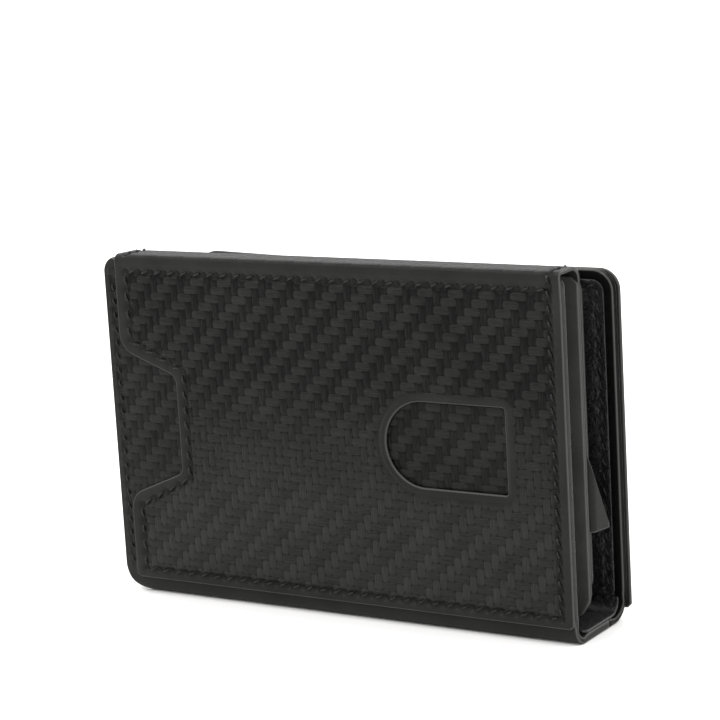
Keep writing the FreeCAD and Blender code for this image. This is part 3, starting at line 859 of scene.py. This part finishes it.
def cover_shell(side, low, high, name, replaced, start, woven):
    """A cover's leather with its turned edge, the fold and its share of the spine."""
    hidden = 0.04 if side > 0 else 0.0
    foot_left, foot_right = spine_low[0] + 0.1 + hidden, spine_high[0] - 0.1 - hidden
    plane, turn = abs(front_low[1]), 2.4 if side < 0 else 3.6
    path = Path((start, 0.0), (float(side), 0.0), (0.0, -1.0))
    flat = plane - turn - start * side
    path.straight(flat).bend(turn).straight(high[2] - turn)
    bend_end = flat + turn * math.pi / 2
    length = path.length
    left_drop = 5.5 if side < 0 else 4.0
    top_left = [(low[0], length, CORNER)]
    if side < 0:
        strip = panel_low[0] - 0.15
        top_left = [(strip, length, 0.3), (strip, length + 0.9, 0.3), (low[0], length + 0.9, 3.2)]
    outer = rounded([
        (foot_left, 0, 0.4), (foot_right, 0, 0.4), (foot_right, flat + 0.5, 3.0),
        (high[0], bend_end + 3.0, 4.0), (high[0], length, 1.3 if side < 0 else CORNER)
    ] + top_left + [
        (low[0], bend_end + 0.8, left_drop), (foot_left, flat + 0.6, 2.0)])
    cover_thick = 2.0
    spine_thick = spine_lining_low[2]

    def thick(along):
        rise = np.clip((along - bend_end - 0.4) / 2.0, 0, 1)
        fall = np.clip((flat - along) / 1.5, 0, 1)
        mid = 1.25
        return mid + (cover_thick - mid) * rise + (spine_thick - mid) * fall

    border = low[0] + 2.1
    stitches = seam_holes([(border, bend_end + 3.0), (border, length - CORNER)], closed=False,
                          pitch=2.9)
    sewn = seam_relief(stitches, groove=0.08, hole=0.3)

    def relief(across, along, away):
        crease = np.exp(-((along - bend_end - 0.8) / 0.5) ** 2) * 0.12
        ripple = wave(across, along, 21, 0.05, 2.1 + side)
        ground = np.clip((along - flat) / 1.5, 0, 1)
        return hidden + crease + (ripple + sewn(across, along) * (side < 0)) * ground

    def weave(across, along, away):
        return (0.8 * ramp(along, bend_end + 1.2, bend_end + 2.6) * ramp(away, 0.7, 1.5)
                * (1 - 0.6 * np.exp(-((across - border) / 0.5) ** 2)))

    pitch = TOW_ACROSS / TOW_STEPS if woven else 0.8
    columns = merged_lines(grid_lines(min(low[0], foot_left), max(high[0], foot_right), pitch),
                           beside(border, 0.25), gap=0.12)
    lines = merged_lines(grid_lines(0, flat, 0.9), grid_lines(flat, bend_end + 3, 0.35),
                         grid_lines(bend_end + 3, length, TOW_ALONG / TOW_STEPS if woven else 0.7),
                         [length + 0.45, length + 0.9], gap=0.12)
    shell = Sheet(name, [outer], columns, lines, path, thick, edge=0.32, band=0.6,
                  relief=relief, relief_fade=(0.3, 0.9), rim=1.8, wall=0.9,
                  weave=weave if woven else None).build()
    dressed(shell, WEAVE if woven else RIM, replaced=replaced)
    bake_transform(shell)
    return path, stitches


def front_shell():
    path, stitches = cover_shell(
        -1, front_low, front_high, "front_cover_shell",
        ("front_cover_leather", "front_edge_binding", "front_fold", "spine_leather"), 4.0, True)
    sew("front_border_thread", stitches, path, "front_cover", ("front_border_stitching",),
        radius=0.2)


def back_shell():
    cover_shell(1, back_low, back_high, "back_cover_shell",
                ("back_cover_leather", "back_edge_binding", "back_fold"), 2.6, False)


def upright(plane, low, outward):
    """A straight path up a vertical face whose outside looks along outward."""
    return Path((plane, low), (0, 1), (float(outward), 0)).straight(100.0)


def flat_piece(name, low, high, outward, material, body, replaced, corners=None,
               step=0.9, edge=0.2, relief=None, seams=()):
    """A sheet piece standing in the XZ plane, filling a CAD node's box."""
    tall = high[2] - low[2]
    plane = low[1] if outward < 0 else high[1]
    path = upright(plane, low[2], outward)
    loop = corners
    if loop is None:
        loop = box_loop(low[0], high[0], tall)
    columns = merged_lines(grid_lines(loop[:, 0].min(), loop[:, 0].max(), step), gap=0.15)
    lines = merged_lines(grid_lines(loop[:, 1].min(), loop[:, 1].max(), step), gap=0.15)
    depth = high[1] - low[1]
    sewn = seam_relief(seams, groove=0.07, hole=0.28) if len(seams) else None

    def total(across, along, away):
        deep = np.zeros(len(across))
        if relief:
            deep = deep + relief(across, along, away)
        if sewn:
            deep = deep + sewn(across, along)
        return deep

    piece = Sheet(name, [loop], columns, lines, path, depth, edge=edge,
                  band=max(0.45, edge * 1.3), relief=total).build()
    dressed(piece, material, body, replaced)
    return path


def slack(size, amount, seed):
    """The depth function of a sheet that lies a little loose."""
    return lambda across, along, away: np.abs(wave(across, along, size, amount, seed))


def front_lining():
    flat_piece("front_lining_cloth", front_lining_low, front_lining_high, 1, LINING,
               "front_cover", ("front_lining",), relief=slack(16, 0.10, 0.7))


def back_lining():
    """The coated lining, crinkled along its seam."""
    tall = back_lining_high[2] - back_lining_low[2]
    low, high = back_lining_low, back_lining_high
    seam = seam_holes([(low[0] + 1.3, 1.3), (high[0] - 1.3, 1.3),
                       (high[0] - 1.3, tall - 1.3), (low[0] + 1.3, tall - 1.3)], pitch=3.0)
    loop = rounded([(low[0], 0, 1.0), (high[0], 0, 1.0), (high[0], tall, 2.4),
                    (low[0], tall, 2.4)])

    def crinkled(across, along, away):
        near = np.exp(-((away - 1.6) / 1.6) ** 2)
        ruck = 0.10 * np.sin(along * 2.1 + np.sin(across * 0.7) * 2) * near
        return np.abs(wave(across, along, 9, 0.16, 3.3)) + np.abs(ruck)

    path = flat_piece("back_lining_coated", low, high, -1, GLOSS_LINING,
                      "back_cover", ("back_lining",), corners=loop, step=0.6,
                      relief=crinkled, seams=seam)
    sew("back_lining_thread", seam, path, "back_cover", ("back_lining_stitching",),
        radius=0.22)


def spine_lining():
    """The lining along the bed of the fold, carried on up the back fold."""
    low, high = spine_lining_low, spine_lining_high
    turn = 2.4
    run = back_lining_low[1] + 0.35 - turn - low[1] - 0.5
    climb = back_lining_low[2] + 1.0 - high[2] - turn
    bed = Path((low[1] + 0.5, high[2]), (1, 0), (0, 1)).straight(run)
    bed.bend(-turn, -math.pi / 2).straight(climb)
    foot, end = spine_low[0] + 0.4, spine_high[0] - 0.25
    loop = box_loop(foot, end, bed.length, 0.5)
    cloth = Sheet("spine_lining_cloth", [loop], merged_lines(grid_lines(foot, end, 1.0)),
                  merged_lines(grid_lines(0, bed.length, 0.45)), bed, 0.5, edge=0.2, band=0.4,
                  relief=slack(12, 0.1, 4.4)).build()
    dressed(cloth, GLOSS_LINING, replaced=("spine_lining",))
    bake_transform(cloth)


def inner_leaf_backing():
    low, high = leaf_lining_low, leaf_lining_high
    tall = high[2] - low[2]
    loop = rounded([(low[0] + 2.2, 0, 1), (high[0] - 2.2, 0, 1), (high[0] - 0.1, 3.2, 1),
                    (high[0] - 0.1, tall + 1.1, 0.3), (panel_low[0], tall + 1.1, 0.3),
                    (panel_low[0] - 0.8, 3.2, 1)])
    # The backing's lighter grey is painted light on the leaf's face.
    flat_piece("inner_leaf_backing", low, high, -1, BACKING, "front_cover",
               ("inner_leaf_lining",), corners=loop,
               relief=slack(24, 0.12, 5.0))


def pouch_floor():
    """The gusset along the pouch's bottom, which sags a little."""
    floor_low, floor_high = box_mm("pouch_bottom_gusset")
    deep = floor_high[1] - floor_low[1]
    bed = Path((floor_low[1], floor_high[2]), (1, 0), (0, 1)).straight(deep)
    loop = box_loop(floor_low[0], floor_high[0], deep, 0.8)
    sag = Sheet("pouch_floor_gusset", [loop],
                merged_lines(grid_lines(floor_low[0], floor_high[0], 1.0)),
                merged_lines(grid_lines(0, deep, 0.5)), bed, floor_high[2] - floor_low[2],
                edge=0.3, band=0.5,
                relief=lambda a, b, c: 0.25 * np.sin(np.pi * b / deep)).build()
    dressed(sag, LINING, "front_cover", ("pouch_bottom_gusset",))


def pouch_end():
    """The gusset at the closed end, folded inward like a bellows."""
    end_low, end_high = box_mm("pouch_end_gusset")
    deep = end_high[1] - end_low[1]
    tall = arch_high[2] - 1.3 - end_low[2]
    points, flat = [], []
    rows, sides = 40, 9
    for n in range(rows + 1):
        for m in range(sides + 1):
            share = m / sides
            inward = 2.6 * math.sin(math.pi * share) * (0.55 + 0.45 * math.sin(
                math.pi * n / rows))
            points.append((end_low[0] + inward, end_low[1] + deep * share,
                           end_low[2] + tall * n / rows))
            flat.append((deep * share, tall * n / rows))
    fold = make_mesh("pouch_end_fold", np.array(points), grid_faces(rows, sides),
                     np.array(flat))
    skin = fold.modifiers.new("thickness", "SOLIDIFY")
    skin.thickness = (end_high[0] - end_low[0]) * MM
    dressed(fold, SMOOTH, "front_cover", ("pouch_end_gusset",))


def card_panel():
    """The panel behind the pouch, bowed up a little at its left corner."""
    low, high = card_low, card_high
    tall = high[2] - low[2]
    loop = rounded([(low[0], 0, 1.0), (high[0], 0, 1.0), (high[0], tall - 0.6, 4.5),
                    (low[0] + 34, tall - 0.3, 30), (low[0] + 17, tall + 0.2, 5),
                    (low[0] + 13, tall - 1.4, 5), (low[0], tall - 1.6, 4.0)])
    inset = STITCH_INSET
    seam = seam_holes([(low[0] + inset, inset), (high[0] - inset, inset),
                       (high[0] - inset, tall - inset - 0.5),
                       (low[0] + inset, tall - inset - 1.6)])
    path = flat_piece("card_panel_leather", low, high, 1, SMOOTH,
                      "front_cover", ("card_panel",), corners=loop, step=0.7, edge=0.25,
                      relief=lambda a, b, c: wave(a, b, 30, 0.06, 0.4), seams=seam)
    sew("card_panel_thread", seam, path, "front_cover", ("card_panel_stitching",))
    welt_low, welt_high = box_mm("card_panel_welt")
    rise = welt_high[2] - welt_low[2]
    loop = rounded([(welt_low[0], 0, 1), (welt_high[0], 0, 1), (welt_high[0], 4, 1),
                    (welt_low[0] + 4, 4, 1), (welt_low[0] + 4, rise, 1), (welt_low[0], rise, 1)])
    flat_piece("card_panel_seam_welt", welt_low, welt_high, 1, SMOOTH,
               "front_cover", ("card_panel_welt",), corners=loop, step=1.0)


def pull_strap():
    """A ribbon between the pouch and the card panel."""
    low, high = box_mm("pull_strap")
    flat_piece("pull_strap_ribbon", low, high, 1, LINING, "pull_tab",
               ("pull_strap",), edge=0.2,
               relief=lambda a, b, c: 0.05 * np.abs(np.sin(b * 4.0)))


def pull_tab():
    """The strap's end: leather bent outward, with its free edge cut to a slant."""
    tab_low, tab_high = box_mm("pull_tab")
    tall = tab_high[2] - tab_low[2]
    reach = tab_high[1] - tab_low[1]
    thick, turn, stem, lean = 0.85, 0.75, 0.35, math.radians(80)
    run = reach - turn * (1 - math.cos(lean)) - 0.55
    bend = turn + thick
    length = stem + bend * lean + run
    points, flat, edge = [], [], []
    steps, rows = 22, 40
    for layer in (0, 1):
        for n in range(steps + 1):
            s = length * n / steps
            angle = min(max((s - stem) / bend, 0.0), lean)
            rest = max(s - stem - bend * lean, 0.0)
            out = min(s, stem) + bend * math.sin(angle) + rest * math.cos(lean)
            up = bend * (1 - math.cos(angle)) + rest * math.sin(lean)
            slant = max(0.0, s - stem - 0.4) / (length - stem - 0.4)
            top = tall - slant * (tall - 1.1)
            for m in range(rows + 1):
                share = m / rows
                rounding = 0.16 * abs(2 * share - 1) ** 14
                deep = rounding if layer == 0 else thick - rounding
                points.append((tab_low[0] - 0.35 + out - math.sin(angle) * deep,
                               tab_low[1] + up + math.cos(angle) * deep,
                               tab_low[2] + 0.1 + (top - 0.1) * share))
                flat.append((s, (top - 0.1) * share))
                edge.append(min(length - s, top * share, top * (1 - share)))
    count = (steps + 1) * (rows + 1)
    faces = grid_faces(steps, rows, flipped=True) + grid_faces(steps, rows, count)
    border = ([(n * (rows + 1), (n + 1) * (rows + 1)) for n in range(steps)]
              + [(steps * (rows + 1) + m, steps * (rows + 1) + m + 1) for m in range(rows)]
              + [((n + 1) * (rows + 1) + rows, n * (rows + 1) + rows) for n in
                 reversed(range(steps))]
              + [(m + 1, m) for m in reversed(range(rows))])
    faces += [[b, a, count + a, count + b] for a, b in border]
    tab = make_mesh("pull_tab_leather", np.array(points), faces, np.array(flat),
                    np.array(edge))
    dressed(tab, SMOOTH, "pull_tab", ("pull_tab",))


def back_panel():
    """The outer back panel: embossed, sewn all round."""
    low, high = back_panel_low, back_panel_high
    tall = high[2] - low[2]
    right = high[0] + 0.5
    loop = rounded([(low[0], 0, 1.0), (right, 0, 0.7), (right, tall, CORNER),
                    (low[0], tall, CORNER)])
    inset = STITCH_INSET
    row = high[0] - SIDE_INSET
    sewn_round = [(low[0] + inset, inset), (row, inset), (row, tall - inset),
                  (low[0] + inset, tall - inset)]
    seam = seam_holes(sewn_round)
    sewn = seam_relief(seam)
    seam_loop = np.array(sewn_round)
    path = upright(high[1], low[2], 1)

    def relief(across, along, away):
        return sewn(across, along) + wave(across, along, 40, 0.1, 6.1)

    def weave(across, along, away):
        sewn_in, _ = boundary_of(np.column_stack([across, along]), [seam_loop])
        return ramp(sewn_in, 0.1, 1.0)

    columns = merged_lines(grid_lines(low[0], right, TOW_ACROSS / TOW_STEPS), gap=0.1)
    lines = merged_lines(grid_lines(0, tall, TOW_ALONG / TOW_STEPS),
                         beside(inset, 0.23), gap=0.1)
    panel = Sheet("back_panel_leather", [loop], columns, lines, path, high[1] - low[1],
                  edge=0.34, band=0.5, relief=relief, relief_fade=(0.45, 0.9),
                  edge_bulge=0.05, weave=weave).build()
    dressed(panel, WEAVE, "back_cover", ("back_pocket_panel",))
    sew("back_panel_thread", seam, path, "back_cover", ("back_panel_stitching",))


def kept_nodes():
    """The sealed-in board and foil keep their CAD shape and get a finish of their own."""
    finishes = {"front_board": BOARD, "back_board": BOARD, "spine_board": BOARD,
                "front_shield_foil": FOIL, "back_shield_foil": FOIL}
    for name, material in finishes.items():
        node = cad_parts[name]
        node.data.materials.clear()
        node.data.materials.append(material)


# ---------------------------------------------------------------- studio

def aim(thing, spot, target):
    thing.location = Vector(spot)
    thing.rotation_euler = (Vector(target) - Vector(spot)).to_track_quat("-Z", "Y").to_euler()


def soft_box(name, spot, target, side, power):
    light = bpy.data.lights.new(name, "AREA")
    light.shape = "RECTANGLE"
    light.size = light.size_y = side
    light.energy = power
    lamp = bpy.data.objects.new(name, light)
    bpy.context.scene.collection.objects.link(lamp)
    aim(lamp, spot, target)


def studio():
    mesh = bpy.data.meshes.new("floor")
    reach = 6.0
    mesh.from_pydata([(-reach, -reach, 0), (reach, -reach, 0), (reach, reach, 0),
                      (-reach, reach, 0)], [], [[0, 1, 2, 3]])
    floor = bpy.data.objects.new("floor", mesh)
    bpy.context.scene.collection.objects.link(floor)
    floor.data.materials.append(floor_material())
    world = bpy.data.worlds.new("studio")
    world.use_nodes = True
    world.node_tree.nodes["Background"].inputs["Color"].default_value = (1, 1, 1, 1)
    world.node_tree.nodes["Background"].inputs["Strength"].default_value = 1.1
    bpy.context.scene.world = world
    bpy.context.scene.view_settings.view_transform = "Standard"
    soft_box("overhead", (0.0, 0.8, 3.0), (0, 0, 0), 6.0, 200.0)
    soft_box("sparkle", (-0.45, -0.55, 0.9), (0, 0, 0.03), 0.14, 3.0)


def camera():
    """Seen from the front right and a little above, with the right end nearer."""
    azimuth, elevation, roll = math.radians(32.5), math.radians(11.1), math.radians(3.3)
    distance, lens = 0.4685, 122.65
    target = Vector((7.8 * MM, panel_low[1] * MM, 52.2 * MM))
    back = Vector((math.sin(azimuth) * math.cos(elevation),
                   -math.cos(azimuth) * math.cos(elevation), math.sin(elevation)))
    right = (-back).cross(Vector((0, 0, 1))).normalized()
    down = (-back).cross(right)
    across = right * math.cos(roll) + down * math.sin(roll)
    up = back.cross(across)
    data = bpy.data.cameras.new("camera")
    data.lens = lens
    data.sensor_width = 36.0
    made = bpy.data.objects.new("camera", data)
    bpy.context.scene.collection.objects.link(made)
    turn = Matrix((across, up, back)).transposed().to_4x4()
    made.matrix_world = Matrix.Translation(target + back * distance) @ turn
    bpy.context.scene.camera = made


camera()
studio()
front_wrap()
front_shell()
back_shell()
front_lining()
back_lining()
spine_lining()
inner_leaf_backing()
pouch_floor()
pouch_end()
card_panel()
pull_strap()
pull_tab()
back_panel()
kept_nodes()
